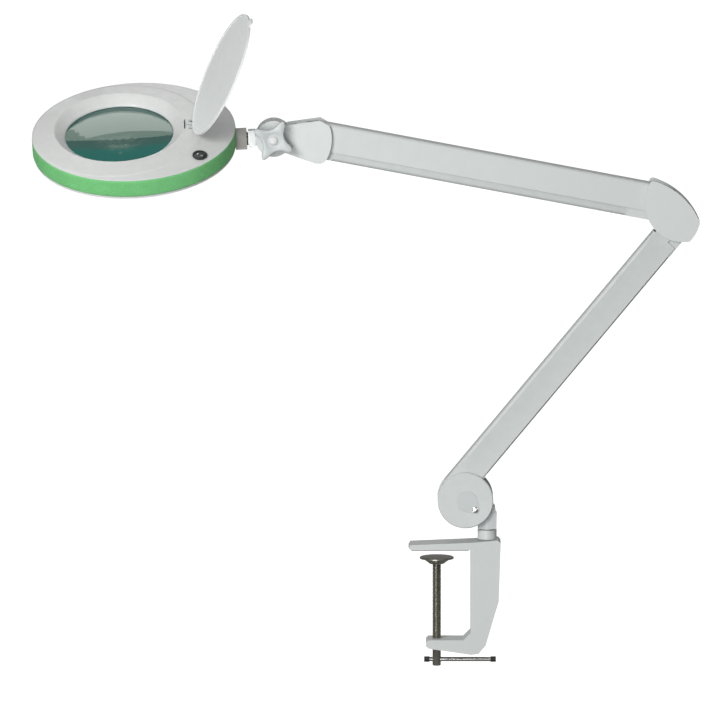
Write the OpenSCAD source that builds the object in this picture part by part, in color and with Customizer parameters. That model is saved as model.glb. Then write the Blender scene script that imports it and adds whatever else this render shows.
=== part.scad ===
// Bench magnifying lamp: table clamp, two parallelogram arms and a round lit magnifier head.
// The origin is on the clamp screw's axis, on the face that rests on the table. +Z is up, the head is at -X.

/* [Clamp] */
// Width of the clamp frame along Y
clamp_w = 34; // [28:1:44]
// Height of the clamp's mouth
mouth_h = 100; // [90:1:110]
// Distance from the table face to the raised clamp pad
pad_drop = 8.5; // [6:0.5:30]
// Outer diameter of the clamp pad
pad_d = 38; // [30:1:44]
// Thread diameter of the clamp screw
screw_d = 10; // [8:1:12]
// Length of the tommy bar with its caps
bar_len = 80; // [60:1:90]

/* [Arms] */
// Height of the lower arm's profile
lower_h = 32; // [30:1:36]
// Height of the upper arm's profile
upper_h = 40.4; // [38:0.2:44]
// Width of both arms
arm_w = 25; // [24:1:30]
// Pivot to pivot length of the lower arm
lower_len = 391; // [340:1:400]
// Pivot to pivot length of the upper arm
upper_len = 406; // [360:1:420]
// Angle of the lower arm above the horizontal
lower_angle = 50.4; // [45:0.1:55]
// Angle of the upper arm above the horizontal, rising towards the head
upper_angle = 10.6; // [8:0.1:14]
// Sheet thickness of the arm channels
sheet = 1.1; // [1:0.1:1.2]

/* [Head] */
// Diameter of the magnifying lens
lens_d = 127; // [120:1:130]
// Half length of the oval head, along the neck
head_a = 113; // [112:0.5:114]
// Half width of the oval head
head_b = 103; // [101:0.5:106]
// Distance from the lens axis to the middle of the oval, towards the neck
head_shift = 16; // [15:0.5:17]
// Height of the grip band
band_h = 20; // [16:1:24]
// Height of the sloped top above the band
dome_h = 7.5; // [7:0.5:9]
// Roll of the head towards the user
head_roll = 25; // [0:1:30]
// Slope of the head down from the neck
head_pitch = 3; // [0:1:10]
// Opening angle of the dust cover
cover_open = 119; // [100:1:121]

/* [Hidden] */
$fn = 96;
gap = 0.3;                    // clearance between parts that move past each other
fit = 0.05;                   // radial clearance of a pin in its bore

// Clamp
tip_x = -31.5;                // tip of the upper jaw
throat_x = 37.5;              // inner face of the column
back_x = 71;                  // outer face of the column
jaw_rubber = 1.5;
boss_z = 12;                  // top of the frame around the swivel
swivel_x = 56;
screw_r = screw_d / 2;
bar_z = -124;                 // height of the tommy bar
bar_r = 2.5;
bar_x = 26;                   // middle of the tommy bar, which has slid to one side
cap_l = 6;
bush_top = 22.5;
pin_r = 6;

// Layers across the arms, as half widths
out_y = arm_w / 2;
out_in_y = out_y - sheet;
in_y = out_in_y - 0.4;
in_in_y = in_y - sheet;
core_y = in_in_y - gap;
cover_y = out_y + gap;        // inner face of every cover
cover_out = cover_y + 4.6;    // outer face of every cover
axle_r = 4;

// Pivots of the lower arm: the outer channel turns on a, the inner one on b
low_mid = [19.6, 67];         // lower end of the arm's centre line
low_u = [cos(lower_angle), sin(lower_angle)];
low_n = [-sin(lower_angle), cos(lower_angle)];
low_up = 5;                   // height of pivot a above the centre line
low_dn = -10;                 // height of pivot b
low_a = low_mid + low_up * low_n;
low_b = low_mid + low_dn * low_n;
elb_a = low_a + lower_len * low_u;
elb_b = low_b + lower_len * low_u;
low_split = -14;              // lower edge of the outer channel
disc_c = [31.7, 57];
disc_r = 31;

// Pivots of the upper arm
up_mid = [249, 388.4];        // elbow end of the arm's centre line
up_u = [-cos(upper_angle), sin(upper_angle)];
up_n = [sin(upper_angle), cos(upper_angle)];
up_up = 5;
up_dn = -13;
up_a = up_mid + up_up * up_n;
up_b = up_mid + up_dn * up_n;
wri_a = up_a + upper_len * up_u;
wri_b = up_b + upper_len * up_u;
up_split = -10.5;

// Wrist and neck
tilt_c = [-181, 461.7];       // axis of the star knob
ear_r = 20;
ear_y = 7;                    // half width of the yoke's tongue
neck_z = -16;                 // neck axis below the top edge of the grip band, in the head's frame
neck_x = 128;                 // where the neck block meets the band, from the lens axis
lens_at = [-351.9, -6.76, 467.3]; // lens axis at the top edge of the grip band
lens_r = lens_d / 2;
eye_r = 60;                   // radius of the opening above the lens
dish_r = 71.5;                // upper radius of the conical dish
eye_z = -1.5;
band_t = 3;

// A flat outline in X and Z, given the thickness from y0 to y1
module slab(y0, y1) {
    rotate([90, 0, 0]) translate([0, 0, -y1]) linear_extrude(y1 - y0) children();
}
// A round rod along Y through the point p
module rod(p, r, y0, y1) {
    translate([p.x, y0, p.y]) rotate([-90, 0, 0]) cylinder(r = r, h = y1 - y0);
}
module spot(p, r) { translate(p) circle(r); }
// A straight bar of half width r between two points, with round ends, as an outline
module link(p, q, r) {
    d = q - p;
    spot(p, r);
    spot(q, r);
    translate(p) rotate(atan2(d.y, d.x)) translate([0, -r]) square([norm(d), 2 * r]);
}
module lower_frame() { translate([low_mid.x, 0, low_mid.y]) rotate([0, -lower_angle, 0]) children(); }
module upper_frame() {
    translate([up_mid.x, 0, up_mid.y]) mirror([1, 0, 0]) rotate([0, -upper_angle, 0]) children();
}
module head_frame() { translate(lens_at) rotate([0, -head_pitch, 0]) rotate([head_roll, 0, 0]) children(); }

// Table clamp
module frame_outline() {
    polygon([[tip_x + 2, jaw_rubber], [tip_x, 3.5], [tip_x + 2, 7], [42, 10], [back_x - 3, boss_z],
        [back_x, boss_z - 3], [69, -56], [54.5, -106], [46.5, -115.5], [38, -116.5], [-9, -109.5],
        [-12, -107], [-12, -102.5], [-9.5, -mouth_h], [throat_x - 8, -mouth_h], [throat_x, -mouth_h + 8],
        [throat_x, jaw_rubber]]);
}
module clamp_frame() {
    color("gainsboro") difference() {
        slab(-clamp_w / 2, clamp_w / 2) frame_outline();
        translate([0, 0, -125]) cylinder(r = screw_r + fit, h = 30);
        translate([swivel_x, 0, -35]) cylinder(r = pin_r + 2, h = 60);
    }
}
module jaw_pad() {
    color("dimgray") translate([tip_x + 3, -14, 0]) cube([throat_x - tip_x - 5, 28, jaw_rubber]);
}
module swivel_bush() {
    color("whitesmoke") translate([swivel_x, 0, 0]) difference() {
        union() {
            translate([0, 0, boss_z]) cylinder(r = 10.6, h = bush_top - boss_z);
            translate([0, 0, -35]) cylinder(r = pin_r + 2, h = boss_z + 35);
        }
        translate([0, 0, -32]) cylinder(r = pin_r + fit, h = 60);
    }
}
module clamp_pad() {
    color("silver") translate([0, 0, -pad_drop]) rotate_extrude() polygon([[0, 0], [pad_d / 2 - 0.6, 0],
        [pad_d / 2, -0.6], [pad_d / 2, -1.8], [pad_d / 2 - 4, -2.4], [9.5, -6.4], [8.5, -7.4], [6.4, -7.4],
        [6.4, -4.4], [3.3, -4.4], [3.3, -2], [0, -2]]);
}
module clamp_screw() {
    color("darkgray") difference() {
        rotate_extrude() polygon([[0, -pad_drop - 2.3], [3, -pad_drop - 2.3], [3, -pad_drop - 6.5],
            [screw_r - 0.8, -pad_drop - 6.5], [screw_r, -pad_drop - 7.3], [screw_r, -112.5],
            [screw_r - 0.35, -113], [screw_r - 0.35, -130.4], [screw_r - 1, -131], [0, -131]]);
        translate([-20, 0, bar_z]) rotate([0, 90, 0]) cylinder(r = bar_r + fit, h = 40);
    }
}
module tommy_bar() {
    color("silver") translate([bar_x - bar_len / 2 + 1, 0, bar_z]) rotate([0, 90, 0])
        cylinder(r = bar_r, h = bar_len - 2);
}
module tommy_bar_caps() {
    color("black") for (side = [-1, 1]) translate([bar_x + side * bar_len / 2, 0, bar_z])
        rotate([0, -side * 90, 0]) difference() {
            cylinder(r = 3.1, h = cap_l);
            translate([0, 0, 1]) cylinder(r = bar_r, h = cap_l);
        }
}

// Base
module swivel_pin() { color("silver") translate([swivel_x, 0, -30]) cylinder(r = pin_r, h = 62); }
module swivel_washer() {
    color("dimgray") translate([swivel_x, 0, bush_top]) difference() {
        cylinder(r = 9, h = 0.9);
        translate([0, 0, -1]) cylinder(r = pin_r, h = 3);
    }
}
screw_spot = disc_c + [11, -10];  // screw that holds each base cover
casting_y = 10.4;             // half width of the bracket where it runs down into its post
module base_bracket() {
    color("gainsboro") difference() {
        union() {
            translate([swivel_x, 0, bush_top + 0.9]) cylinder(r = 10.5, h = 19);
            slab(-core_y, core_y) {
                link(low_a, low_b, 8);
                polygon([low_b + [-3, -8], [swivel_x - 10, 32], [swivel_x + 9, 32], [swivel_x + 9, 46],
                    [swivel_x - 2, 53], low_b + [6, 3]]);
                spot([31, 46], 13);
            }
            slab(-casting_y, casting_y) polygon([[45.6, 24], [66.4, 24], [66, 40], [64.6, 48.5], [62, 51.5], [50, 51.5]]);
            rod(screw_spot, 4, -cover_y, cover_y);
        }
        translate([swivel_x, 0, -30]) cylinder(r = pin_r, h = 62);
        rod(low_a, axle_r, -40, 40);
        rod(low_b, axle_r, -40, 40);
        rod(screw_spot, 1.5, -40, 40);
    }
}
module base_axles() {
    color("silver") {
        rod(low_a, axle_r, -out_y, out_y);
        rod(low_b, axle_r, -in_y, in_y);
    }
}
module round_cover(side) {
    mirror([0, side > 0 ? 1 : 0, 0]) difference() {
        translate([disc_c.x, -cover_out, disc_c.y]) rotate([-90, 0, 0])
            rotate_extrude() polygon([[0, 0], [disc_r - 1, 0], [disc_r, 1], [disc_r, 4.6], [disc_r - 2, 4.6],
                [disc_r - 2, 1.8], [7, 1.8], [7, 2.2], [0, 2.2]]);
        rod(screw_spot, 2.1, -40, 0);
    }
}
module base_cover_front() { color("gainsboro") round_cover(-1); }
module base_cover_back() { color("gainsboro") round_cover(1); }
module cover_screws() {
    color("silver") for (side = [0, 1]) mirror([0, side, 0]) {
        rod(screw_spot, 1.5, -cover_out + 1, -4);
        rod(screw_spot, 3.6, -cover_out - 1.2, -cover_out);
        rod(screw_spot, 2.1, -cover_out, -cover_y);
    }
}

// Arms. An arm's own frame has X along the arm from its lower pivot and Z across it.
round_k = 3.5;                // radius of the channels' long edges
module tube_section(half, top, low, r) {
    union() {
        translate([-half, low]) square([2 * half, top - low - r]);
        translate([-half + r, low]) square([2 * (half - r), top - low]);
        for (s = [-1, 1]) spot([s * (half - r), top - r], r);
    }
}
// A trough of sheet from x0 to x1, closed at z = top and open at z = low
module trough(x0, x1, half, top, low) {
    translate([x0, 0, 0]) rotate([90, 0, 90]) linear_extrude(x1 - x0) difference() {
        tube_section(half, top, low, round_k);
        tube_section(half - sheet, top - sheet, low - 1, round_k - sheet);
    }
}
// Cheek plates that carry the pivots at both ends
module cheeks(len, z, r, inset, half) {
    for (x = [0, len]) for (s = [-1, 1]) mirror([0, s > 0 ? 1 : 0, 0])
        slab(-half, -half + sheet) link([x, z], [x == 0 ? inset : len - inset, z], r);
}
module outer_channel(len, top, split, z, x0, x1, r) {
    difference() {
        union() {
            trough(x0, len - x1, out_y, top, split);
            cheeks(len, z, r, max(x0, x1) + 12, out_y);
        }
        for (x = [0, len]) rod([x, z], axle_r + fit, -40, 40);
    }
}
module inner_channel(len, top, split, z, x0, x1, r) {
    difference() {
        union() {
            mirror([0, 0, 1]) trough(x0, len - x1, in_y, top, -split - 4);
            cheeks(len, z, r, max(x0, x1) + 12, in_y);
        }
        for (x = [0, len]) rod([x, z], axle_r + fit, -40, 40);
    }
}
low_x0 = 2;
low_x1 = 26;                  // the lower arm's channels stop this far short of the elbow pivots
up_x0 = 17;
up_x1 = 17;
module lower_outer_channel() {
    color("gainsboro") lower_frame()
        outer_channel(lower_len, lower_h / 2, low_split, low_up, low_x0, low_x1, 9);
}
module lower_inner_channel() {
    color("lightsteelblue") lower_frame()
        inner_channel(lower_len, lower_h / 2, low_split, low_dn, 24, low_x1 - 4, 6);
}
module upper_outer_channel() {
    color("gainsboro") upper_frame()
        outer_channel(upper_len, upper_h / 2, up_split, up_up, up_x0, up_x1, 10);
}
module upper_inner_channel() {
    color("lightsteelblue") upper_frame()
        inner_channel(upper_len, upper_h / 2, up_split, up_dn, up_x0 + 5, up_x1 + 5, 7);
}
// Balance springs, drawn as the tube that the coils fill, and the pins that hold them
spring_r = 7;
module spring_body(x0, x1, z) {
    translate([x0, 0, z]) rotate([0, 90, 0]) difference() {
        cylinder(r = spring_r, h = x1 - x0);
        translate([0, 0, -1]) cylinder(r = spring_r - 2, h = x1 - x0 + 2);
    }
    for (s = [0, 1]) translate([s == 0 ? x0 - 10 : x1 - 1, 0, z + spring_r - 2])
        rotate([0, 90, 0]) cylinder(r = 1, h = 11);
}
low_anchor = 300;
up_anchor = 110;
module lower_spring() { color("dimgray") lower_frame() spring_body(70, low_anchor - 14, 3); }
module upper_spring() { color("dimgray") upper_frame() spring_body(up_anchor + 14, 330, 5); }
module anchor(x, z) { rod([x, z], 3, -out_in_y, out_in_y); }
module lower_spring_anchor() { color("silver") lower_frame() anchor(low_anchor, 3); }
module upper_spring_anchor() { color("silver") upper_frame() anchor(up_anchor, 5); }

// Elbow
elbow_screws = [elb_a, up_a];
module elbow_outline() {
    union() {
        intersection() {
            spot([273, 390], 43.4);
            spot([217, 338], 80);
            spot([251, 376], 40.5);
        }
        intersection() {
            spot([217, 338], 80);
            polygon([[250, 395], [238, 366], [243, 365.2], [280, 356.5], [287, 362], [290.8, 370], [291, 376],
                [270, 392]]);
        }
    }
}
module elbow_bracket() {
    color("gainsboro") difference() {
        slab(-core_y, core_y) hull() {
            spot(elb_a, 8);
            spot(elb_b, 6.5);
            spot(up_a, 8);
            spot(up_b, 7);
        }
        for (p = [elb_a, elb_b, up_a, up_b]) rod(p, axle_r, -40, 40);
    }
}
// The outer pivots carry the covers on their ends, and are tapped for the screws of the back cover
module elbow_axles() {
    color("silver") {
        for (p = [elb_a, up_a]) tapped_axle(p);
        for (p = [elb_b, up_b]) rod(p, axle_r, -in_y, in_y);
    }
}
module tapped_axle(p) {
    difference() {
        rod(p, axle_r, -cover_y, cover_y);
        rod(p, 1.5, 4, 40);
    }
}
module cap_plate(screws) {
    difference() {
        slab(-cover_out, -cover_y) children(0);
        slab(-cover_out + 1.8, -cover_y + 1) children(1);
        for (p = screws) rod(p, 2.1, -40, 0);
    }
}
module elbow_inner() { translate([259, 379]) scale(0.88) translate([-259, -379]) elbow_outline(); }
module elbow_cover_front() {
    color("gainsboro") cap_plate([]) {
        elbow_outline();
        elbow_inner();
    }
}
module elbow_cover_back() {
    color("gainsboro") union() {
        mirror([0, 1, 0]) cap_plate(elbow_screws) {
            elbow_outline();
            elbow_inner();
        }
        slab(-cover_y, cover_y + 1) difference() {
            intersection() {
                elbow_outline();
                polygon([[264, 430], [264, 400], [284, 360], [320, 350], [320, 430]]);
            }
            spot([217, 338], 78);
        }
    }
}
module elbow_cover_screws() {
    color("silver") for (p = elbow_screws) {
        rod(p, 1.5, 4, cover_y);
        rod(p, 2.1, cover_y, cover_out);
        rod(p, 3.6, cover_out, cover_out + 1.2);
    }
}

// Wrist
module wrist_outline() {
    union() {
        spot(tilt_c, ear_r);
        intersection() {
            polygon([[-176, 475], [-163, 477.4], [-129.5, 482], [-121.5, 477.5], [-110, 470], [-112, 441],
                [-128.5, 434], [-133.5, 434], [-147.5, 438.4], [-190, 454]]);
            spot([-160.5, 461], 44);
        }
    }
}
module wrist_inner() {
    intersection() {
        translate([-150, 461]) scale(0.86) translate([150, -461]) wrist_outline();
        translate([-158, 400]) square([80, 120]);
    }
}
wrist_screws = [wri_a];
module wrist_bracket() {
    color("gainsboro") difference() {
        union() {
            slab(-core_y, core_y) hull() {
                spot(wri_a, 6.5);
                spot(wri_b, 6.5);
                spot([-162, 468.5], 6.5);
                spot([-162, 458], 6.5);
            }
            for (s = [0, 1]) mirror([0, s, 0]) slab(-cover_y, -ear_y - gap) spot(tilt_c, ear_r - 1);
        }
        for (p = [wri_a, wri_b, tilt_c]) rod(p, axle_r, -40, 40);
        rod(tilt_c, 17, -ear_y - gap, ear_y + gap);
    }
}
module wrist_axles() {
    color("silver") {
        tapped_axle(wri_a);
        rod(wri_b, axle_r, -in_y, in_y);
    }
}
module wrist_cover(screws) {
    difference() {
        cap_plate(screws) {
            wrist_outline();
            wrist_inner();
        }
        rod(tilt_c, axle_r, -40, 40);
    }
}
module wrist_cover_front() { color("gainsboro") wrist_cover([]); }
module wrist_cover_back() { color("gainsboro") mirror([0, 1, 0]) wrist_cover(wrist_screws); }
module wrist_cover_screws() {
    color("silver") for (p = wrist_screws) {
        rod(p, 1.5, 4, cover_y);
        rod(p, 2.1, cover_y, cover_out);
        rod(p, 3.6, cover_out, cover_out + 1.2);
    }
}
module tilt_bolt() {
    color("silver") {
        rod(tilt_c, axle_r, -32, cover_out);
        rod(tilt_c, 7.5, cover_out, cover_out + 4);
    }
}
module friction_washers() {
    color("dimgray") for (s = [0, 1]) mirror([0, s, 0]) difference() {
        rod(tilt_c, 11, -ear_y - gap, -ear_y - 0.03);
        rod(tilt_c, axle_r, -40, 40);
    }
}
// Star knob with four tips and hollow sides
knob_turn = 61;
knob_tip = 24;
module star_outline() {
    translate(tilt_c) rotate(knob_turn) difference() {
        circle(knob_tip);
        for (k = [0 : 3]) rotate(45 + 90 * k) translate([30.7, 0]) circle(18.2);
    }
}
module star_knob() {
    color("whitesmoke") difference() {
        union() {
            slab(-36, -25) star_outline();
            rod(tilt_c, 11, -26, -cover_out - gap);
        }
        rod(tilt_c, axle_r + fit, -32.5, 0);
        rod(tilt_c, 5, -40, -34.5);
    }
}
module knob_button() {
    color("white") {
        rod(tilt_c, 5, -37, -34.5);
    }
}

// Neck. Its own frame has X along the neck and Z up, on the neck's axis, from the lens axis.
module neck_frame() { head_frame() translate([0, 0, neck_z]) rotate([-head_roll, 0, 0]) children(); }
block_l = 12.7;
yoke_x = neck_x + block_l + 1.6;
module head_yoke() {
    color("lightgray") difference() {
        union() {
            slab(-ear_y, ear_y) {
                spot(tilt_c, 16.4);
                polygon([tilt_c + [-22, -8.2], tilt_c + [-8, -8.2], tilt_c + [-8, 8.2], tilt_c + [-22, 8.2]]);
            }
            neck_frame() translate([yoke_x, -9.5, -9.5]) cube([8, 19, 19]);
        }
        rod(tilt_c, axle_r + fit, -40, 40);
        neck_frame() translate([100, 0, 0]) rotate([0, 90, 0]) cylinder(r = 4, h = yoke_x + 7 - 100);
    }
}
module neck_pin() {
    color("silver") neck_frame() {
        translate([112, 0, 0]) rotate([0, 90, 0]) cylinder(r = 4, h = yoke_x + 7 - 112);
        translate([112, 0, 0]) rotate([0, 90, 0]) cylinder(r = 7, h = 2.5);
    }
}
module neck_washer() {
    color("black") neck_frame() translate([neck_x + block_l + 0.05, 0, 0]) rotate([0, 90, 0]) difference() {
        cylinder(r = 7.5, h = 1.5);
        translate([0, 0, -1]) cylinder(r = 4 + fit, h = 4);
    }
}
module neck_block() {
    color("darkgray") head_frame() difference() {
        union() {
            translate([neck_x, -8.5, neck_z - 9]) cube([block_l, 17, 18]);
            translate([115.5, -9, neck_z - 3]) cube([neck_x - 115, 18, 12]);
            translate([115.5, 0, neck_z]) rotate([0, 90, 0]) cylinder(r = 6, h = 14);
        }
        translate([100, 0, neck_z]) rotate([0, 90, 0]) cylinder(r = 4 + fit, h = 60);
    }
}

// Head. Its frame has its origin on the lens axis, at the top edge of the grip band.
function oval(d) = [for (t = [0 : 3.75 : 359]) [head_shift + (head_a - d) * cos(t), (head_b - d) * sin(t)]];
module oval_slab(d, z0, z1) { translate([0, 0, z0]) linear_extrude(z1 - z0) polygon(oval(d)); }
module disc(r, z0, z1) { translate([0, 0, z0]) cylinder(r = r, h = z1 - z0); }
module ring(r0, r1, z0, z1) {
    translate([0, 0, z0]) rotate_extrude() translate([r0, 0]) square([r1 - r0, z1 - z0]);
}
module dome(inset, drop) {
    hull() {
        oval_slab(0.3 + inset, -drop, 1.2 - drop);
        disc(dish_r + 2 - drop / 2, dome_h - drop - 0.4, dome_h - drop);
    }
}
hinge_x = 76;                 // axis of the dust cover's hinge
hinge_z = 4.5;
pocket = [72.2, 91.5, 10, 0.8];   // near end, far end, half width and floor of the hinge's recess
switch_at = [89, -61];
switch_r = 8.2;
boss_at = [[104, 38], [104, -38], [50, 86], [50, -86]];
module at_switch() {
    translate([switch_at.x, switch_at.y, 2.8]) rotate([0, 0, -42.3]) rotate([0, 7.2, 0]) children();
}
module dish_wall() {
    rotate_extrude() polygon([[eye_r, eye_z], [dish_r, dome_h], [dish_r + 2.5, dome_h], [eye_r + 4.5, eye_z],
        [66.6, -3.2], [66.6, -22.8], [64.2, -22.8], [64.2, -3.2], [eye_r, -3.2]]);
}
module top_cover() {
    color("whitesmoke") head_frame() difference() {
        union() {
            difference() {
                dome(0, 0);
                dome(2.6, 2.2);
                translate([0, 0, -3]) cylinder(r = 66, h = 10);
                disc(dish_r + 1, 2, 20);
            }
            dish_wall();
            difference() {
                oval_slab(3.2, -4.2, 0.5);
                oval_slab(5, -5, 1);
            }
            ring(84, 85.5, -10.4, 4);
            for (p = boss_at) translate([p.x, p.y, -20.2]) cylinder(r = 3.5, h = 21.4);
            intersection() {
                dome(0, 0);
                translate([pocket[0] - 2, -pocket[2] - 2, pocket[3] - 1.6])
                    cube([pocket[1] - pocket[0] + 4, 2 * pocket[2] + 4, 20]);
            }
        }
        translate([pocket[0], -pocket[2], pocket[3]])
            cube([pocket[1] - pocket[0], 2 * pocket[2], 20]);
        translate([0, 0, eye_z]) cylinder(r1 = eye_r, r2 = dish_r, h = dome_h - eye_z);
        for (p = boss_at) translate([p.x, p.y, -30]) cylinder(r = 1.5, h = 24);
        at_switch() translate([0, 0, -20]) cylinder(r = 7, h = 40);
        at_switch() translate([0, 0, 0.1]) cylinder(r = switch_r, h = 10);
    }
}
module neck_notch() {
    translate([neck_x - 17.4, -9.3, neck_z - 20]) cube([43.4, 18.6, 29.3]);
}
module grip_band() {
    color("mediumseagreen") head_frame() difference() {
        oval_slab(0, -band_h, 0);
        oval_slab(band_t, -band_h - 1, 1);
        neck_notch();
    }
}
module bottom_cover() {
    color("whitesmoke") head_frame() difference() {
        union() {
            difference() {
                oval_slab(1.2, -band_h - 3, -band_h - 0.2);
                disc(91.5, -30, 0);
            }
            difference() {
                oval_slab(3.2, -band_h - 1, -4.5);
                oval_slab(5.2, -30, 0);
            }
        }
        neck_notch();
        for (p = boss_at) translate([p.x, p.y, -30]) cylinder(r = 1.6, h = 20);
    }
}
module head_screws() {
    color("silver") head_frame() for (p = boss_at) translate([p.x, p.y, -24]) {
        cylinder(r = 1.5, h = 12);
        cylinder(r = 3, h = 1);
    }
}
// Biconvex glass: the profile of one half is an arc in ten steps
lens_bulge = 5.8;
lens_z = -5.7;
function bulge(r) = lens_bulge * (1 - (r / lens_r) * (r / lens_r));
module lens() {
    upper = [for (i = [0 : 10]) let (r = lens_r * i / 10) [r, lens_z + 1.5 + bulge(r)]];
    lower = [for (i = [10 : -1 : 0]) let (r = lens_r * i / 10) [r, lens_z - 1.5 - bulge(r)]];
    color([0.7, 0.85, 0.8]) head_frame() rotate_extrude() polygon(concat(upper, lower));
}
module lens_ring() { color("whitesmoke") head_frame() ring(60.5, 64.15, -10.2, -7.78); }
module diffuser() { color("white") head_frame() ring(66.8, 91.3, -band_h - 3, -band_h - 1); }
board_z = -12;
module led_board() { color("white") head_frame() ring(70, 90.5, board_z, -10.4); }
led_count = 60;
module leds() {
    color("lightyellow") head_frame() for (i = [0 : led_count - 1]) rotate(i * 360 / led_count)
        translate([78.6, -1.75, board_z - 0.9]) cube([2.8, 3.5, 0.9]);
}
module driver_board() {
    color("seagreen") head_frame() {
        translate([92, -26, -8]) cube([17, 52, 1.6]);
        translate([95, -20, -6.4]) cube([10, 12, 5]);
        translate([99, 12, -6.4]) cylinder(r = 4, h = 5.5);
    }
}
module switch_bezel() {
    color("black") head_frame() at_switch() difference() {
        union() {
            translate([0, 0, 0.1]) cylinder(r = switch_r, h = 1.2);
            translate([0, 0, -9]) cylinder(r = 6.95, h = 10);
        }
        translate([0, 0, -5]) cylinder(r = 6.3, h = 20);
    }
}
rocker_tilt = 7;
module rocker() {
    color("black") head_frame() at_switch() translate([0, 0, -0.4]) rotate([0, -rocker_tilt, 0])
        difference() {
            union() {
                translate([0, 0, -1]) cylinder(r = 5.9, h = 2.6);
                rotate([90, 0, 0]) translate([0, -0.6, -5]) cylinder(r = 1.6, h = 10);
            }
            for (s = [0, 180]) rotate(s) translate([0, -8, 1.6]) rotate([0, -7, 0])
                translate([0, 0, 0]) cube([12, 16, 4]);
        }
}
module hinge_bracket() {
    color("whitesmoke") head_frame() for (s = [0, 1]) mirror([0, s, 0]) difference() {
        translate([hinge_x - 3, 6.2, pocket[3]]) union() {
            cube([6, 3.4, hinge_z - pocket[3]]);
            translate([3, 3.4, hinge_z - pocket[3]]) rotate([90, 0, 0]) cylinder(r = 3, h = 3.4);
        }
        translate([hinge_x, 20, hinge_z]) rotate([90, 0, 0]) cylinder(r = 1, h = 40);
    }
}
module hinge_pin() {
    color("silver") head_frame() translate([hinge_x, 9.6, hinge_z]) rotate([90, 0, 0])
        cylinder(r = 1, h = 19.2);
}
// Dust cover, made closed and then turned open about its hinge
module cover_frame() {
    head_frame() translate([hinge_x, 0, hinge_z]) rotate([0, cover_open, 0])
        translate([-hinge_x, 0, -hinge_z]) children();
}
cover_z = dome_h + 0.6;
module dust_cover() {
    color("whitesmoke") cover_frame() difference() {
        union() {
            disc(dish_r, cover_z, cover_z + 2.4);
            translate([-dish_r - 5, -5, cover_z]) cube([8, 10, 2.4]);
        }
        disc(dish_r - 2.2, cover_z - 1, cover_z + 0.6);
    }
}
module cover_arms() {
    color("white") cover_frame() difference() {
        for (s = [0, 1]) mirror([0, s, 0]) slab(2, 5.8) {
            spot([hinge_x, hinge_z], 2.6);
            link([hinge_x - 1, hinge_z], [dish_r + 1.7, cover_z + 2.8], 1.2);
            translate([60, cover_z + 2.4]) square([dish_r - 58.3, 1.4]);
        }
        translate([hinge_x, 20, hinge_z]) rotate([90, 0, 0]) cylinder(r = 1 + fit, h = 40);
    }
}

clamp_frame();
jaw_pad();
swivel_bush();
clamp_pad();
clamp_screw();
tommy_bar();
tommy_bar_caps();
swivel_pin();
swivel_washer();
base_bracket();
base_axles();
base_cover_front();
base_cover_back();
cover_screws();
lower_outer_channel();
lower_inner_channel();
lower_spring();
lower_spring_anchor();
elbow_bracket();
elbow_axles();
elbow_cover_front();
elbow_cover_back();
elbow_cover_screws();
upper_outer_channel();
upper_inner_channel();
upper_spring();
upper_spring_anchor();
wrist_bracket();
wrist_axles();
wrist_cover_front();
wrist_cover_back();
wrist_cover_screws();
tilt_bolt();
friction_washers();
star_knob();
knob_button();
head_yoke();
neck_pin();
neck_washer();
neck_block();
top_cover();
grip_band();
bottom_cover();
head_screws();
lens();
lens_ring();
diffuser();
led_board();
leds();
driver_board();
switch_bezel();
rocker();
hinge_bracket();
hinge_pin();
dust_cover();
cover_arms();
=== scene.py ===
"""Looks of the bench magnifying lamp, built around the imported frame. Lengths are in mm where not said."""
import math

import bmesh
import bpy
from mathutils import Matrix, Vector


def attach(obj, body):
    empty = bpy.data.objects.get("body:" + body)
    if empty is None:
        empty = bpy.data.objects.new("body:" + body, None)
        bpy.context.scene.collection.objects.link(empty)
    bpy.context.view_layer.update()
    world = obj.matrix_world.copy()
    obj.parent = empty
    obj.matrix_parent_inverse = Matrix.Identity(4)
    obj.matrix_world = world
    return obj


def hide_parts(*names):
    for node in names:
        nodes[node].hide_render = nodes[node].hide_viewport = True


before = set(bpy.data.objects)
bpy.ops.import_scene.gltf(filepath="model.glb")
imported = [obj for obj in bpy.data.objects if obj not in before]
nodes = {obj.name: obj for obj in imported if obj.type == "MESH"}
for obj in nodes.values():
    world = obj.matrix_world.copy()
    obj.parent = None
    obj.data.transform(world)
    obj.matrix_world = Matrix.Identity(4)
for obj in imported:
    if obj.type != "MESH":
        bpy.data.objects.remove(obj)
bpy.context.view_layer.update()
MM = 0.001
TAU = 2 * math.pi


def turn(axis, degrees):
    return Matrix.Rotation(math.radians(degrees), 4, axis)


def shift(x, y, z):
    return Matrix.Translation(Vector((x, y, z)) * MM)


def columns(x, z, origin):
    """A frame with X along x and Z along z, at origin."""
    x, z = Vector(x).normalized(), Vector(z).normalized()
    m = Matrix((x, z.cross(x), z)).transposed().to_4x4()
    m.translation = Vector(origin) * MM
    return m


# Frames of the model's parts, as in the CAD source
WORLD = Matrix.Identity(4)
HEAD = shift(-351.9, -6.76, 467.3) @ turn("Y", -3) @ turn("X", 25)
LOWER = shift(19.6, 0, 67) @ turn("Y", -50.4)
UPPER_ANGLE = math.radians(10.6)
UPPER = columns(
    (-math.cos(UPPER_ANGLE), 0, math.sin(UPPER_ANGLE)),
    (math.sin(UPPER_ANGLE), 0, math.cos(UPPER_ANGLE)),
    (249, 0, 388.4),
)
TILT = (-181, 461.7)          # axis of the star knob, x and z
SCREW_SPOT = (42.7, 47)       # screw in each base cover
COVER_OUT = 17.4              # outer face of every cover, from the arms' middle
LOWER_LENGTH, UPPER_LENGTH = 391, 406
PIVOT_UP = 5                  # height of the outer channels' pivots above an arm's centre line
SWITCH = HEAD @ shift(89, -61, 2.8) @ turn("Z", -42.3) @ turn("Y", 7.2)


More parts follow.
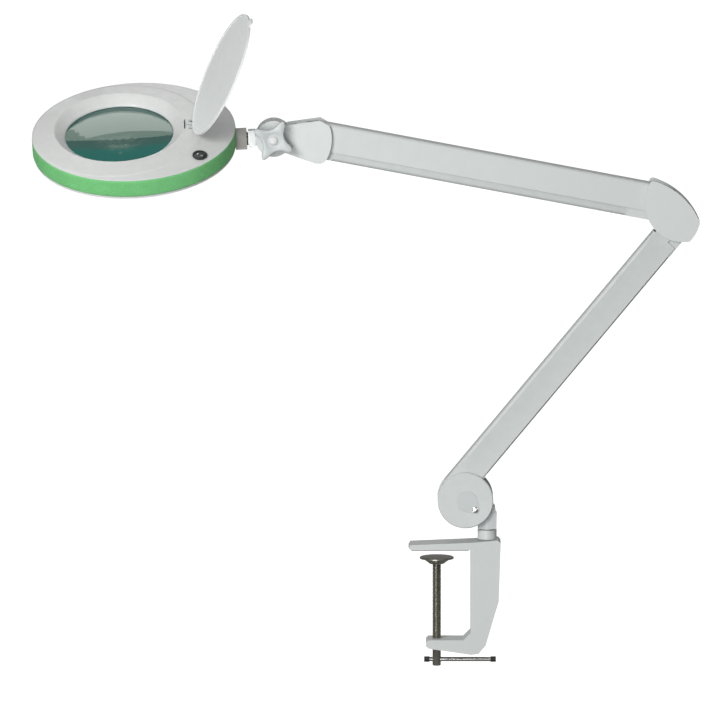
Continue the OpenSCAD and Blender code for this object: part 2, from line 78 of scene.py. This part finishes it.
# ---------------------------------------------------------------- materials
def node(tree, kind, **settings):
    n = tree.nodes.new(kind)
    for name, value in settings.items():
        if name in n.inputs:
            n.inputs[name].default_value = value
        else:
            setattr(n, name, value)
    return n


def noise(tree, coordinates, scale, detail=3.0):
    n = node(tree, "ShaderNodeTexNoise", Scale=scale, Detail=detail)
    tree.links.new(coordinates, n.inputs["Vector"])
    return n.outputs[0]


def blend_colours(tree, factor, a, b):
    mix = node(tree, "ShaderNodeMix", data_type="RGBA")
    tree.links.new(factor, mix.inputs[0])
    for socket, colour in ((mix.inputs[6], a), (mix.inputs[7], b)):
        if isinstance(colour, tuple):
            socket.default_value = (*colour, 1)
        else:
            tree.links.new(colour, socket)
    return mix.outputs[2]


def span(tree, value, low, high, start=0.3, stop=0.7):
    n = node(tree, "ShaderNodeMapRange")
    for i, v in enumerate((start, stop, low, high)):
        n.inputs[i + 1].default_value = v
    tree.links.new(value, n.inputs[0])
    return n.outputs[0]


def surface(name, light, dark, rough, grain, bump=0.1, depth=0.05, metallic=0.0, patch=9.0,
            stretch=(1, 1, 1), edge=None, painted_corner_shade=None, coat=0.0, **shader):
    """A moulded, painted or metal surface. light and dark are its colour range, rough its roughness range,
    grain the size in mm of its fine texture and depth that texture's height, patch the size in mm of its
    slow colour changes, edge the colour of a painted highlight on sharp edges (a painted shade where it is
    darker than the face), painted_corner_shade the colour of the painted shade in corners."""
    m = bpy.data.materials.new(name)
    m.use_nodes = True
    tree = m.node_tree
    shade = tree.nodes["Principled BSDF"]
    place = node(tree, "ShaderNodeTexCoord").outputs["Object"]
    mapping = node(tree, "ShaderNodeMapping")
    mapping.inputs["Scale"].default_value = stretch
    tree.links.new(place, mapping.inputs["Vector"])
    fine = noise(tree, mapping.outputs[0], 1000 / grain)
    slow = noise(tree, place, 1000 / patch, 4.0)
    colour = blend_colours(tree, span(tree, slow, 0, 1), light, dark)
    # Painted shade: an ambient-occlusion mask darkens the colour in corners, creases and gaps between parts.
    if painted_corner_shade:
        near = node(tree, "ShaderNodeAmbientOcclusion", samples=4, Distance=4 * MM)
        colour = blend_colours(tree, span(tree, near.outputs["AO"], 0.75, 0, 0.25, 0.95), colour, painted_corner_shade)
    # Painted highlight: pointiness lightens the colour on sharp convex edges; on the grey neck block it is a
    # painted shade that darkens them.
    if edge:
        point = node(tree, "ShaderNodeNewGeometry").outputs["Pointiness"]
        colour = blend_colours(tree, span(tree, point, 0, 0.7, 0.53, 0.6), colour, edge)
    tree.links.new(colour, shade.inputs["Base Color"])
    tree.links.new(span(tree, slow, *rough), shade.inputs["Roughness"])
    height = node(tree, "ShaderNodeBump", Strength=bump, Distance=depth * MM)
    tree.links.new(fine, height.inputs["Height"])
    tree.links.new(height.outputs[0], shade.inputs["Normal"])
    shade.inputs["Metallic"].default_value = metallic
    shade.inputs["Coat Weight"].default_value = coat
    for socket, value in shader.items():
        shade.inputs[socket.replace("_", " ")].default_value = value
    return m


# Each edge colour here is a painted highlight on sharp edges (on grey_plastic a painted shade), and each
# painted_corner_shade colour a painted shade in corners.
PAINT = surface("powder_paint", (0.55, 0.585, 0.58), (0.52, 0.555, 0.55), (0.34, 0.44), 0.9, 0.25, 0.04,
                edge=(0.64, 0.67, 0.66), painted_corner_shade=(0.34, 0.36, 0.35))
SHELL = surface("head_shell", (0.68, 0.69, 0.68), (0.64, 0.65, 0.64), (0.36, 0.46), 0.5, 0.15, 0.03,
                edge=(0.80, 0.83, 0.81), painted_corner_shade=(0.42, 0.45, 0.43), coat=0.15)
PLASTIC = surface("cover_plastic", (0.56, 0.60, 0.595), (0.53, 0.57, 0.565), (0.30, 0.42), 0.5, 0.2, 0.03,
                  edge=(0.68, 0.71, 0.70), painted_corner_shade=(0.34, 0.36, 0.35))
LID = surface("dust_cover_plastic", (0.84, 0.87, 0.86), (0.80, 0.83, 0.82), (0.36, 0.48), 0.6, 0.2, 0.04,
              edge=(0.92, 0.94, 0.93))
GREY = surface("grey_plastic", (0.70, 0.67, 0.65), (0.65, 0.62, 0.60), (0.42, 0.55), 0.5, 0.25, 0.04,
               edge=(0.44, 0.42, 0.40), painted_corner_shade=(0.16, 0.15, 0.14))
YOKE = surface("cast_yoke", (0.62, 0.65, 0.65), (0.56, 0.59, 0.59), (0.32, 0.45), 0.8, 0.3, 0.05,
               metallic=0.25, edge=(0.75, 0.77, 0.77), painted_corner_shade=(0.35, 0.37, 0.37))
CHROME = surface("chrome", (0.68, 0.68, 0.67), (0.62, 0.62, 0.61), (0.10, 0.18), 1.5, 0.05, 0.02,
                 metallic=1.0, stretch=(0.2, 1, 1))
STEEL = surface("zinc_steel", (0.38, 0.37, 0.32), (0.27, 0.26, 0.22), (0.24, 0.36), 0.6, 0.15, 0.03,
                metallic=0.9, patch=4)
BRIGHT = surface("turned_steel", (0.62, 0.61, 0.58), (0.52, 0.51, 0.48), (0.22, 0.34), 0.5, 0.15, 0.03,
                 metallic=1.0)
SPRING = surface("spring_wire", (0.24, 0.24, 0.24), (0.14, 0.14, 0.14), (0.25, 0.4), 0.4, 0.1, 0.02,
                 metallic=0.9)
RUBBER = surface("black_rubber", (0.022, 0.022, 0.022), (0.012, 0.012, 0.012), (0.6, 0.75), 0.4, 0.35, 0.05)
BLACK = surface("black_plastic", (0.020, 0.020, 0.022), (0.012, 0.012, 0.013), (0.28, 0.4), 0.5, 0.2, 0.03,
                edge=(0.05, 0.05, 0.05))
DIFFUSER = surface("frosted_diffuser", (0.86, 0.87, 0.86), (0.80, 0.81, 0.80), (0.5, 0.6), 0.4, 0.2, 0.03,
                   Subsurface_Weight=0.2)
BOARD = surface("white_board", (0.80, 0.80, 0.77), (0.74, 0.74, 0.71), (0.4, 0.5), 0.6, 0.1, 0.02)
LED = surface("led_dome", (0.86, 0.74, 0.30), (0.78, 0.64, 0.22), (0.12, 0.2), 0.4, 0.05, 0.02, coat=0.6)
GREEN_BOARD = surface("driver_board", (0.03, 0.16, 0.06), (0.02, 0.11, 0.04), (0.3, 0.4), 0.6, 0.1, 0.02)
WHITE_MARK = surface("white_print", (0.80, 0.81, 0.80), (0.74, 0.75, 0.74), (0.4, 0.5), 0.3, 0.1, 0.01)


def grip_material():
    """Soft green rubber with a fine diamond knurl, laid out by the band's own UV map, in mm."""
    m = surface("green_grip", (0.25, 0.80, 0.29), (0.22, 0.72, 0.25), (0.44, 0.56), 0.5, 0.2, 0.04, patch=14)
    tree = m.node_tree
    shade = tree.nodes["Principled BSDF"]
    uv = node(tree, "ShaderNodeSeparateXYZ")
    tree.links.new(node(tree, "ShaderNodeTexCoord").outputs["UV"], uv.inputs[0])

    def ridges(sign):
        lean = node(tree, "ShaderNodeMath", operation="MULTIPLY_ADD")
        tree.links.new(uv.outputs[0], lean.inputs[0])
        lean.inputs[1].default_value = sign
        tree.links.new(uv.outputs[1], lean.inputs[2])
        wave = node(tree, "ShaderNodeMath", operation="MULTIPLY")
        tree.links.new(lean.outputs[0], wave.inputs[0])
        wave.inputs[1].default_value = math.pi / KNURL
        sine = node(tree, "ShaderNodeMath", operation="SINE")
        tree.links.new(wave.outputs[0], sine.inputs[0])
        size = node(tree, "ShaderNodeMath", operation="ABSOLUTE")
        tree.links.new(sine.outputs[0], size.inputs[0])
        return size.outputs[0]

    low = node(tree, "ShaderNodeMath", operation="MINIMUM")
    tree.links.new(ridges(1.0), low.inputs[0])
    tree.links.new(ridges(-1.0), low.inputs[1])
    bump = node(tree, "ShaderNodeBump", Strength=0.9, Distance=0.6 * MM)
    tree.links.new(low.outputs[0], bump.inputs["Height"])
    fine = shade.inputs["Normal"].links[0].from_socket
    tree.links.new(fine, bump.inputs["Normal"])
    tree.links.new(bump.outputs[0], shade.inputs["Normal"])
    base = shade.inputs["Base Color"].links[0].from_socket
    # Painted shade: the bottoms of the knurl's grooves are darkened in the colour.
    knurl_groove_shade = span(tree, low.outputs[0], 0.8, 0, 0, 0.4)
    tree.links.new(blend_colours(tree, knurl_groove_shade, base, (0.10, 0.34, 0.13)), shade.inputs["Base Color"])
    return m


KNURL = 3.0
GRIP = grip_material()


def glass_material():
    m = bpy.data.materials.new("lens_glass")
    m.use_nodes = True
    tree = m.node_tree
    shade = tree.nodes["Principled BSDF"]
    place = node(tree, "ShaderNodeTexCoord").outputs["Object"]
    dust = noise(tree, place, 60, 5.0)
    tree.links.new(span(tree, dust, 0.0, 0.05), shade.inputs["Roughness"])
    shade.inputs["Base Color"].default_value = (0.135, 0.155, 0.130, 1)
    # Painted light: a faint teal glow stands in for light coming up through the lens from below.
    shade.inputs["Emission Color"].default_value = (0.08, 1.0, 0.88, 1)
    shade.inputs["Emission Strength"].default_value = 0.035
    shade.inputs["Transmission Weight"].default_value = 1.0
    shade.inputs["IOR"].default_value = 1.52
    return m


GLASS = glass_material()
# Painted light: the lens seat's teal colour and glow stand in for light carried through the lens's edge.
LENS_SEAT_GLOW = surface("lens_seat_painted_glow", (0.42, 0.58, 0.55), (0.38, 0.53, 0.50), (0.3, 0.4), 0.8, 0.1, 0.02,
               Emission_Color=(0.30, 0.60, 0.55, 1), Emission_Strength=0.12)


# ---------------------------------------------------------------- mesh helpers
def finish_mesh(name, mesh, material, body, smooth=35.0, bevel=0.0, replaced=()):
    o = bpy.data.objects.new(name, mesh)
    bpy.context.collection.objects.link(o)
    mesh.materials.append(material)
    shade_smooth(o, smooth)
    if bevel:
        round_edges(o, bevel)
    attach(o, body)
    if replaced:
        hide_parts(*replaced)
    return o


def shade_smooth(o, degrees):
    for p in o.data.polygons:
        p.use_smooth = True
    o.data.set_sharp_from_angle(angle=math.radians(degrees))


def round_edges(o, width):
    mod = o.modifiers.new("rounded_edges", "BEVEL")
    mod.width = width * MM
    mod.segments = 3
    mod.limit_method = "ANGLE"
    mod.angle_limit = math.radians(35)
    mod.harden_normals = False
    mod.miter_outer = "MITER_ARC"


def mesh_from(points, faces, place=WORLD):
    mesh = bpy.data.meshes.new("mesh")
    mesh.from_pydata([place @ (Vector(p) * MM) for p in points], [], faces)
    b = bmesh.new()
    b.from_mesh(mesh)
    bmesh.ops.remove_doubles(b, verts=b.verts, dist=1e-7)
    bmesh.ops.recalc_face_normals(b, faces=b.faces)
    b.to_mesh(mesh)
    b.free()
    return mesh


def grid_faces(rows, cols, wrap_rows=False, wrap_cols=True):
    faces = []
    for r in range(rows if wrap_rows else rows - 1):
        for c in range(cols if wrap_cols else cols - 1):
            a, b = r * cols + c, r * cols + (c + 1) % cols
            d, e = ((r + 1) % rows) * cols + c, ((r + 1) % rows) * cols + (c + 1) % cols
            faces.append((a, b, e, d))
    return faces


def lathe(profile, steps=96, place=WORLD, closed=False):
    """A profile of (radius, height) turned about Z. Its ends are closed by caps, or joined if closed."""
    points = [(r * math.cos(TAU * k / steps), r * math.sin(TAU * k / steps), z)
              for r, z in profile for k in range(steps)]
    faces = grid_faces(len(profile), steps, wrap_rows=closed)
    if not closed:
        faces.append(tuple(range(steps)))
        faces.append(tuple(range((len(profile) - 1) * steps, len(profile) * steps)))
    return mesh_from(points, faces, place)


def cut(o, cutter):
    """Takes the cutter's volume from the piece, at once."""
    mod = o.modifiers.new("cut", "BOOLEAN")
    mod.object = cutter
    mod.operation = "DIFFERENCE"
    mod.solver = "EXACT"
    bpy.context.view_layer.update()
    done = bpy.data.meshes.new_from_object(o.evaluated_get(bpy.context.evaluated_depsgraph_get()))
    o.modifiers.clear()
    o.data = done
    bpy.data.objects.remove(cutter)


def tool(mesh):
    o = bpy.data.objects.new("tool", mesh)
    bpy.context.collection.objects.link(o)
    return o


def block(x, y, z, place):
    """A box from its ranges in the given frame."""
    points = [(x[i], y[j], z[k]) for i in (0, 1) for j in (0, 1) for k in (0, 1)]
    faces = [(0, 1, 3, 2), (4, 6, 7, 5), (0, 4, 5, 1), (2, 3, 7, 6), (0, 2, 6, 4), (1, 5, 7, 3)]
    return mesh_from(points, faces, place)


# ---------------------------------------------------------------- camera, light and floor
# Metres here. The camera stands far off behind a long lens, for a nearly parallel view.
CAMERA_RISE = math.radians(8)
VIEW_WIDTH = 0.8059
DISTANCE = 12.0
SENSOR = 36.0                 # millimetres, as the lens
camera = bpy.data.objects.new("camera", bpy.data.cameras.new("camera"))
bpy.context.collection.objects.link(camera)
camera.data.sensor_width = SENSOR
camera.data.lens = SENSOR * DISTANCE / VIEW_WIDTH
camera.data.clip_end = 100
aim = Vector((-0.0821, 0, 0.2176))
camera.location = aim + DISTANCE * Vector((0, -math.cos(CAMERA_RISE), math.sin(CAMERA_RISE)))
camera.rotation_euler = (math.pi / 2 - CAMERA_RISE, 0, 0)
bpy.context.scene.camera = camera


def lamp(name, place, size, power):
    light = bpy.data.lights.new(name, "AREA")
    light.size = size
    light.energy = power
    o = bpy.data.objects.new(name, light)
    bpy.context.collection.objects.link(o)
    o.location = place
    o.rotation_euler = (aim - o.location).to_track_quat("-Z", "Y").to_euler()


lamp("key_light", (-1.3, -2.3, 1.3), 1.0, 45)
lamp("front_light", (-0.7, -2.9, 0.0), 1.4, 32)
lamp("rim_light", (-0.4, 1.6, 2.0), 1.0, 5)
world = bpy.data.worlds.new("studio")
bpy.context.scene.world = world
world.use_nodes = True
sky = world.node_tree
way = node(sky, "ShaderNodeSeparateXYZ")
sky.links.new(node(sky, "ShaderNodeTexCoord").outputs["Generated"], way.inputs[0])
sky.links.new(span(sky, way.outputs["Z"], 0.20, 0.34, -0.3, 0.8), sky.nodes["Background"].inputs["Strength"])
sky.nodes["Background"].inputs["Color"].default_value = (1, 1, 1, 1)
FLOOR_Z = -0.42
floor = bpy.data.objects.new("floor", mesh_from(
    [(-30000, -30000, 0), (30000, -30000, 0), (30000, 30000, 0), (-30000, 30000, 0)], [(0, 1, 2, 3)]))
bpy.context.collection.objects.link(floor)
floor.location.z = FLOOR_Z
floor.data.materials.append(
    surface("floor_paper", (0.97, 0.97, 0.97), (0.96, 0.96, 0.96), (0.8, 0.9), 4, 0.05, 0.05, patch=400))
floor_shade = floor.data.materials[0].node_tree.nodes["Principled BSDF"]
floor_shade.inputs["Emission Color"].default_value = (1, 1, 1, 1)
floor_shade.inputs["Emission Strength"].default_value = 0.8
floor.visible_diffuse = False
floor.visible_glossy = False
bpy.context.scene.view_settings.view_transform = "Standard"

# ---------------------------------------------------------------- finishes of the CAD nodes
FINISHES = (
    (PAINT, 2.0, "clamp_frame"),
    (PAINT, 0.0, "lower_outer_channel lower_inner_channel upper_outer_channel upper_inner_channel "
                 "base_bracket elbow_bracket wrist_bracket"),
    (PLASTIC, 0.5, "base_cover_front base_cover_back elbow_cover_front elbow_cover_back wrist_cover_front "
                   "wrist_cover_back swivel_bush knob_button lens_ring hinge_bracket cover_arms"),
    (SHELL, 0.3, "bottom_cover"),
    (LID, 0.5, "dust_cover"),
    (GREY, 0.6, "neck_block"),
    (YOKE, 0.6, "head_yoke"),
    (STEEL, 0.0, "clamp_pad"),
    (CHROME, 0.0, "tommy_bar tilt_bolt cover_screws elbow_cover_screws wrist_cover_screws head_screws"),
    (BRIGHT, 0.0, "swivel_pin base_axles elbow_axles wrist_axles neck_pin hinge_pin lower_spring_anchor "
                  "upper_spring_anchor"),
    (RUBBER, 1.0, "tommy_bar_caps"),
    (PLASTIC, 0.2, "jaw_pad"),
    (BLACK, 0.3, "switch_bezel rocker swivel_washer friction_washers neck_washer"),
    (DIFFUSER, 0.0, "diffuser"),
    (BOARD, 0.0, "led_board"),
    (LED, 0.0, "leds"),
    (GREEN_BOARD, 0.0, "driver_board"),
    (GLASS, 0.0, "lens"),
)
for material, bevel, names in FINISHES:
    for name in names.split():
        o = nodes[name]
        for s in o.material_slots:
            s.material = material
        if not o.material_slots:
            o.data.materials.append(material)
        if bevel:
            round_edges(o, bevel)


# ---------------------------------------------------------------- head shells
OVAL_X, OVAL_A, OVAL_B = 16, 113, 103
RIM_R = 73.5                  # circle at the top of the dome
COLLAR_R = 94                 # the round collar ends in a small step down
COLLAR_STEP, COLLAR_EASE = 0.5, 1.4
EYE_R = 60                    # edge of the opening over the lens
HINGE_X = (72.2, 91.5)        # pocket of the dust cover's hinge
HINGE_HALF = 10
SWITCH_HOLE_R = 7.2
TURNS = 192


def oval_point(angle, inset):
    """The point of the inset oval whose outward direction is angle."""
    a, b = OVAL_A - inset, OVAL_B - inset
    c, s = math.cos(angle), math.sin(angle)
    d = math.hypot(a * c, b * s)
    return Vector((OVAL_X + a * a * c / d, b * b * s / d))


def loft(rows, place=HEAD):
    """Closed shell from rows of (inset of the oval, radius of the circle, share of the circle, height)."""
    points = []
    for inset, radius, share, z in rows:
        for k in range(TURNS):
            t = TAU * k / TURNS
            p = oval_point(t, inset) * (1 - share) + Vector((math.cos(t), math.sin(t))) * radius * share
            step = min(max((p.length - COLLAR_R) / COLLAR_EASE, 0), 1)
            drop = COLLAR_STEP * step * step * (3 - 2 * step) if z > 0.7 else 0
            points.append((p.x, p.y, z - drop))
    return mesh_from(points, grid_faces(len(rows), TURNS, wrap_rows=True), place)


def dome_rows():
    """Rows for loft: the outer edge, the dome's slope, its rim, the dish, the eye and the underside."""
    edge = [(2.6, 0, 0, 0.2), (0.7, 0, 0, 0.0), (0.4, 0, 0, 0.12), (0.3, 0, 0, 0.35), (0.3, 0, 0, 0.7)]
    edge += [(0.3, RIM_R, w, z) for w, z in ((0.006, 1.3), (0.02, 1.5), (0.04, 1.68))]
    slope = [(0.3, RIM_R, w, 1.5 + 5.75 * w) for w in [0.06 + 0.9 * i / 44 for i in range(45)]]
    crest = ((73.7, 7.28), (73.2, 7.42), (72.6, 7.5), (72.1, 7.48), (71.7, 7.35), (71.3, 7.1))
    rim = [(0, r, 1, z) for r, z in crest]
    dish = [(0, EYE_R + 11.5 * i / 8, 1, -1.5 + 9 * i / 8) for i in (7.4, 6, 4, 2, 0.5)]
    lip = ((EYE_R + 0.25, -1.5), (EYE_R, -2.0), (EYE_R, -3.2), (66.4, -3.2), (66.4, 1.4))
    eye = [(0, r, 1, z) for r, z in lip]
    under = [(0, 70, 1, 4.2), (2.6, RIM_R, 0.85, 4.2), (2.6, RIM_R, 0.05, -0.4)]
    return edge + slope + rim + dish + eye + under


top = finish_mesh("head_top_shell", loft(dome_rows()), SHELL, "head", replaced=["top_cover"])
cut(top, tool(block(HINGE_X, (-HINGE_HALF, HINGE_HALF), (0.8, 20), HEAD)))
cut(top, tool(lathe([(SWITCH_HOLE_R, -20), (SWITCH_HOLE_R, 20)], 48, SWITCH)))
shade_smooth(top, 28)
finish_mesh("hinge_recess", block((71.8, 91.9), (-10.4, 10.4), (-0.6, 0.78), HEAD), SHELL, "head")

SEAT_INNER, SEAT_OUTER = 64.3, 66.5
SEAT_TOP, SEAT_FOOT = -3.3, -22.6
seat_profile = [(SEAT_INNER, SEAT_TOP), (SEAT_OUTER, SEAT_TOP),
                (SEAT_OUTER, SEAT_FOOT), (SEAT_INNER, SEAT_FOOT)]
finish_mesh("lens_seat", lathe(seat_profile, 128, HEAD, closed=True), LENS_SEAT_GLOW, "head",
            bevel=0.4)


def band(name, profile, material, body="head", replaced=()):
    """A hoop round the oval from a closed profile of (inset, height), with a UV map in mm."""
    points, around, length = [], [], 0.0
    last = None
    for k in range(TURNS * 2):
        t = TAU * k / (TURNS * 2)
        p = oval_point(t, 0)
        length += (p - last).length if last else 0
        last = p
        around.append((t, length))
    whole = length + (oval_point(0, 0) - last).length
    scale = round(whole / KNURL) * KNURL / whole
    for inset, z in profile:
        for t, _ in around:
            p = oval_point(t, inset)
            points.append((p.x, p.y, z))
    cols, rows = len(around), len(profile)
    mesh = bpy.data.meshes.new(name)
    mesh.from_pydata([HEAD @ (Vector(p) * MM) for p in points], [], grid_faces(rows, cols, wrap_rows=True))
    uv = mesh.uv_layers.new(name="grip")
    for polygon in mesh.polygons:
        for loop, v in zip(polygon.loop_indices, polygon.vertices):
            c, r = v % cols, v // cols
            u = around[c][1]
            if c == 0 and any(w % cols == cols - 1 for w in polygon.vertices):
                u = whole
            uv.data[loop].uv = (u * scale, profile[r][1])
    b = bmesh.new()
    b.from_mesh(mesh)
    bmesh.ops.recalc_face_normals(b, faces=b.faces)
    b.to_mesh(mesh)
    b.free()
    return finish_mesh(name, mesh, material, body, smooth=40, replaced=replaced)


grip_profile = [(2.9, -0.1), (1.6, 0.0), (0.9, -0.1), (0.4, -0.4), (0.12, -0.9), (0.0, -1.6), (0.0, -5.0),
                (0.0, -10.0), (0.0, -15.0), (0.0, -18.4), (0.12, -19.1), (0.4, -19.6), (0.9, -19.9),
                (1.6, -20.0), (2.9, -19.9), (2.9, -10)]
grip = band("grip_band_rubber", grip_profile, GRIP, replaced=["grip_band"])
cut(grip, tool(block((110.6, 154), (-9.3, 9.3), (-36, -6.7), HEAD)))
shade_smooth(grip, 40)


# ---------------------------------------------------------------- clamp screw with its thread
PITCH = 1.5
SCREW_R = 5.0
THREAD_DEPTH = 0.92
THREAD = (-112.5, -15.8)
SEGMENTS = 36


def threaded_rod():
    low, high = THREAD
    per_turn = 6
    count = int((high - low) / PITCH * per_turn)
    shank = [(0.01, -131), (SCREW_R - 1, -131), (SCREW_R - 0.5, -130.8), (SCREW_R - 0.35, -130.4),
             (SCREW_R - 0.35, -113)]
    neck = [(SCREW_R - 0.8, -15), (3, -15), (3, -10.8), (0.01, -10.8)]
    rows = shank + [(None, low + (high - low) * i / count) for i in range(count + 1)] + neck
    points = []
    for r, z in rows:
        for k in range(SEGMENTS):
            angle = TAU * k / SEGMENTS
            radius = r
            if r is None:
                phase = (z / PITCH - k / SEGMENTS) % 1
                crest = min(max(abs(2 * phase - 1) * 1.25 - 0.12, 0), 1)
                fade = min(1, (z - low) / 2.0, (high - z) / 2.0)
                radius = SCREW_R - THREAD_DEPTH * (1 - crest) * max(fade, 0) - 0.01
            points.append((radius * math.cos(angle), radius * math.sin(angle), z))
    return mesh_from(points, grid_faces(len(rows), SEGMENTS))


finish_mesh("threaded_spindle", threaded_rod(), STEEL, "screw", smooth=50, replaced=["clamp_screw"])


# ---------------------------------------------------------------- springs
WIRE_R = 0.95
COIL_PITCH = 2.5


def spring(name, place, x0, x1, z, hooks, body, nodes_replaced):
    """A close-wound coil along X with a straight hooked end on each side."""
    curve = bpy.data.curves.new(name, "CURVE")
    curve.dimensions = "3D"
    curve.bevel_depth = WIRE_R * MM
    curve.bevel_resolution = 3
    radius, per_turn = 5.9, 14
    coils = int((x1 - x0) / COIL_PITCH)
    coil = [(x0 + (x1 - x0) * i / (coils * per_turn), radius * math.sin(TAU * i / per_turn),
             z + radius * math.cos(TAU * i / per_turn)) for i in range(coils * per_turn + 1)]
    path = [(x0 - hooks, 0, z + radius)] + coil + [(x1 + hooks, 0, z + radius)]
    spline = curve.splines.new("POLY")
    spline.points.add(len(path) - 1)
    for p, co in zip(spline.points, path):
        p.co = (*(place @ (Vector(co) * MM)), 1)
    curve.materials.append(SPRING)
    o = bpy.data.objects.new(name, curve)
    bpy.context.collection.objects.link(o)
    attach(o, body)
    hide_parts(nodes_replaced)


spring("lower_balance_spring", LOWER, 72, 284, 3, 8, "lower_arm", "lower_spring")
spring("upper_balance_spring", UPPER, 126, 328, 5, 8, "upper_arm", "upper_spring")


# ---------------------------------------------------------------- star knob
def front_frame(x, z, y):
    """A frame on a front face of the lamp: X to the right, Y up, Z towards the viewer."""
    return Matrix.Translation(Vector((x, y, z)) * MM) @ turn("X", 90)


def star_radius(angle):
    """Radius of the four-tipped star in the direction angle, from its hollow sides."""
    tip, hollow_at, hollow_r = 24.0, 30.7, 18.2
    a = (angle + math.pi / 4) % (math.pi / 2) - math.pi / 4
    half = math.pi / 4 - abs(a)
    root = hollow_r ** 2 - (hollow_at * math.sin(half)) ** 2
    if root <= 0:
        return tip
    return min(tip, hollow_at * math.cos(half) - math.sqrt(root))


KNOB_HUB_R = 11
KNOB_TURN = math.radians(61)
KNOB_FACE_Y = -32             # the dish in the star's front
BUTTON_Y = -36


def star_knob():
    """Rows of (shrink, height, hub radius or None for the star), then the rings of the dished front."""
    count = 256
    soft = []
    for k in range(count):
        near = [star_radius(TAU * (k + j) / count) for j in range(-5, 6)]
        soft.append(sum(near) / len(near))
    rows = [(0, -17.7, KNOB_HUB_R), (0, -8, KNOB_HUB_R), (0.6, -7.2, None), (0.15, -6.8, None),
            (0, -6.2, None), (0, -1.6, None), (0.25, -0.8, None), (0.8, -0.25, None), (1.6, 0, None)]
    points = []
    for shrink, z, hub in rows:
        for k in range(count):
            a = TAU * k / count
            r = hub if hub else soft[k] - shrink
            points.append((r * math.cos(a + KNOB_TURN), r * math.sin(a + KNOB_TURN), z + 4))
    dish = ((9.2, 4.0), (8.4, 3.6), (6.4, 3.4), (5.1, 3.5))
    for r, z in dish:
        for k in range(count):
            a = TAU * k / count + KNOB_TURN
            points.append((r * math.cos(a), r * math.sin(a), z))
    rings = len(rows) + len(dish)
    faces = grid_faces(rings, count)
    faces.append(tuple(range(count)))
    faces.append(tuple(range((rings - 1) * count, rings * count)))
    return mesh_from(points, faces, front_frame(*TILT, KNOB_FACE_Y))


finish_mesh("star_knob_moulding", star_knob(), PLASTIC, "knob", smooth=50,
            replaced=["star_knob"])
BUTTON = [(0.01, 1.5), (2.6, 1.45), (3.8, 1.25), (4.5, 0.9), (4.9, 0.3), (4.95, -1.0), (0.01, -1.0)]
button = lathe([(r, z - 0.5) for r, z in reversed(BUTTON)], 64, front_frame(*TILT, BUTTON_Y))
finish_mesh("knob_cap", button, SHELL, "knob", smooth=50, replaced=["knob_button"])


# ---------------------------------------------------------------- base cover details
PLATE_R, PLATE_TIP_R = 11.7, 4.6
PLATE_BACK = 17.35            # the plate's back, just inside the cover's face


def arc(centre, radius, start, sweep, steps=40):
    """Points along an arc, both ends included."""
    angles = [start + sweep * k / steps for k in range(steps + 1)]
    return [centre + radius * Vector((math.cos(a), math.sin(a))) for a in angles]


def teardrop(y_sign):
    """Thin nameless plate on the base cover, round at one end and drawn to its screw."""
    big, small = Vector((33.2, 56.4)), Vector(SCREW_SPOT)
    centre = Vector((36.0, 53.6))
    axis = (small - big).normalized()
    lean = math.acos((PLATE_R - PLATE_TIP_R) / (small - big).length)
    start = math.atan2(axis.y, axis.x)
    outline = arc(big, PLATE_R, start + lean, TAU - 2 * lean)
    outline += arc(small, PLATE_TIP_R, start - lean, 2 * lean)
    n = len(outline)
    points = []
    for inset, y in ((0, 0.0), (0, 0.25), (0.25, 0.45)):
        for p in outline:
            q = p - (p - centre).normalized() * inset
            points.append((q.x, y_sign * (PLATE_BACK + y), q.y))
    faces = grid_faces(3, n)
    faces += [tuple(range(n)), tuple(range(2 * n, 3 * n))]
    return mesh_from(points, faces)


finish_mesh("base_plate_front", teardrop(-1), PLASTIC, "base", smooth=30)


SLOT_HALF = 0.45              # half the slot's width, and the height of its floor
SLOT_TURN = 35


def slotted_screw(name, x, z, y, side, body, replaced=()):
    """A pan head with a slot, on the face at y; side is -1 for the front."""
    place = Matrix.Translation(Vector((x, y, z)) * MM) @ turn("X", 90 if side < 0 else -90)
    head = [(0.01, -1.0), (3.55, -1.0), (3.6, 0.3), (3.45, 0.75), (3.0, 1.05), (2.2, 1.18), (0.01, 1.2)]
    o = finish_mesh(name, lathe(head, 48, place), CHROME, body, smooth=40, replaced=replaced)
    cut(o, tool(block((-4, 4), (-SLOT_HALF, SLOT_HALF), (SLOT_HALF, 2), place @ turn("Z", SLOT_TURN))))
    shade_smooth(o, 35)
    return o


def pivot(arm, along):
    """X and Z in mm of the outer channel's pivot at a distance along the arm."""
    p = arm @ (Vector((along, 0, PIVOT_UP)) * MM) / MM
    return p.x, p.z


slotted_screw("base_screw_front", *SCREW_SPOT, -COVER_OUT, -1, "base", ["cover_screws"])
slotted_screw("base_screw_back", *SCREW_SPOT, COVER_OUT, 1, "base")
slotted_screw("elbow_screw_0", *pivot(LOWER, LOWER_LENGTH), COVER_OUT, 1, "elbow", ["elbow_cover_screws"])
slotted_screw("elbow_screw_1", *pivot(UPPER, 0), COVER_OUT, 1, "elbow")
slotted_screw("wrist_screw", *pivot(UPPER, UPPER_LENGTH), COVER_OUT, 1, "wrist", ["wrist_cover_screws"])

# ---------------------------------------------------------------- switch marks
ROCKER_TOP = SWITCH @ shift(0, 0, -0.4) @ turn("Y", -7)


bar_mark = block((-3.9, -2.5), (-1.2, 1.2), (1.3, 1.62), ROCKER_TOP)
ring_mark = lathe([(0.8, 0), (1.25, 0), (1.25, 0.32), (0.8, 0.32)], 32,
                  ROCKER_TOP @ shift(3.1, 0, 1.3), closed=True)
for name, mesh in (("mark_on", bar_mark), ("mark_off", ring_mark)):
    finish_mesh(name, mesh, WHITE_MARK, "rocker", smooth=30)
